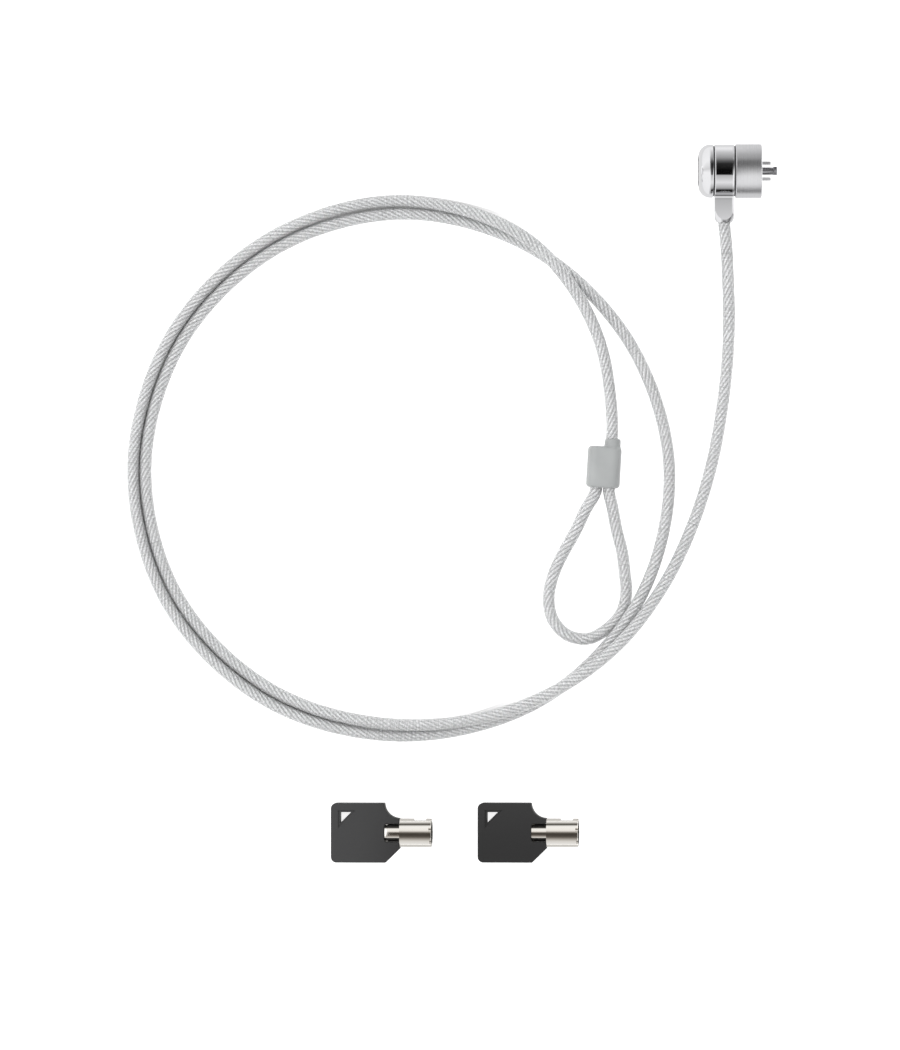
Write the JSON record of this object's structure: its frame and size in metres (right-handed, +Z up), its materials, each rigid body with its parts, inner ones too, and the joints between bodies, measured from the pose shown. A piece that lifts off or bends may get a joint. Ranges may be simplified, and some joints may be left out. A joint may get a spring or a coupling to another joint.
{
  "type": "laptop cable lock",
  "caption": "Round T-bar lock head on a swivelling cable ring, a coated steel cable in a loose coil with a crimped end loop, and tubular keys.",
  "frame": {"origin": "where the lock's axis meets the front face of the lock body", "axes": "+X along the lock's axis out of the nose, +Z up from the table that the lock lies on"},
  "size_m": [0.2341, 0.2588, 0.0194],
  "materials": {
    "satin_nickel": "satin nickel plate",
    "chrome": "bright chrome plate",
    "nylon": "moulded nylon",
    "brass": "turned brass",
    "steel": "ground steel",
    "spring_steel": "drawn wire",
    "hard_steel": "hardened and plated",
    "nickelled_core": "nickelled brass",
    "wire_rope": "galvanised wire rope",
    "clear_vinyl": "clear extruded vinyl",
    "aluminium": "pressed aluminium",
    "grey_vinyl": "shrunk vinyl",
    "black_abs": "moulded, fine matt grain",
    "nickel": "bright nickel plate"
  },
  "bodies": {
    "cable": {"cable_ring": "chrome", "cable_stop": "steel", "steel_rope": "wire_rope", "cable_jacket": "clear_vinyl", "crimp_ferrule": "aluminium", "ferrule_sleeve": "grey_vinyl"},
    "lock_head": {"lock_body": "satin_nickel", "rear_dome": "chrome", "front_washer": "nylon", "rear_washer": "nylon", "lock_barrel": "brass", "barrel_pin": "steel", "driver_chamber": "brass", "chamber_pin": "steel", "pin_springs": "spring_steel", "thrust_washer": "brass", "guide_tongues": "steel"},
    "driver_pin_set": {"driver_pins": "brass"},
    "core": {"pin_rotor": "nickelled_core", "t_bar_spindle": "hard_steel", "drive_pin": "steel"},
    "key_pin_set": {"key_pins": "brass"},
    "key_1": {"key_1_head": "black_abs", "key_1_shank": "nickel", "key_1_tube": "nickel"},
    "key_2": {"key_2_head": "black_abs", "key_2_shank": "nickel", "key_2_tube": "nickel"}
  },
  "joints": [
    {"name": "head_swivel", "type": "hinge", "parent": "cable", "child": "lock_head", "pos_m": [-0.0134, 0, 0], "axis": [1, 0, 0], "continuous": true},
    {"name": "key_turn", "type": "hinge", "parent": "lock_head", "child": "core", "pos_m": [-0.0134, 0, 0], "axis": [1, 0, 0], "range_deg": [0, 90]},
    {"name": "driver_pin_travel", "type": "slide", "parent": "lock_head", "child": "driver_pin_set", "axis": [1, 0, 0], "range_m": [-0.0008, 0]},
    {"name": "key_pin_travel", "type": "slide", "parent": "core", "child": "key_pin_set", "axis": [1, 0, 0], "range_m": [-0.0008, 0]},
    {"name": "key_1_lift", "type": "slide", "parent": "cable", "child": "key_1", "axis": [0, 0, 1], "range_m": [0, 0.06]},
    {"name": "key_2_lift", "type": "slide", "parent": "cable", "child": "key_2", "axis": [0, 0, 1], "range_m": [0, 0.06]}
  ],
  "couplings": [
    {"joint": "key_pin_travel", "follows": "driver_pin_travel", "ratio": 1}
  ]
}
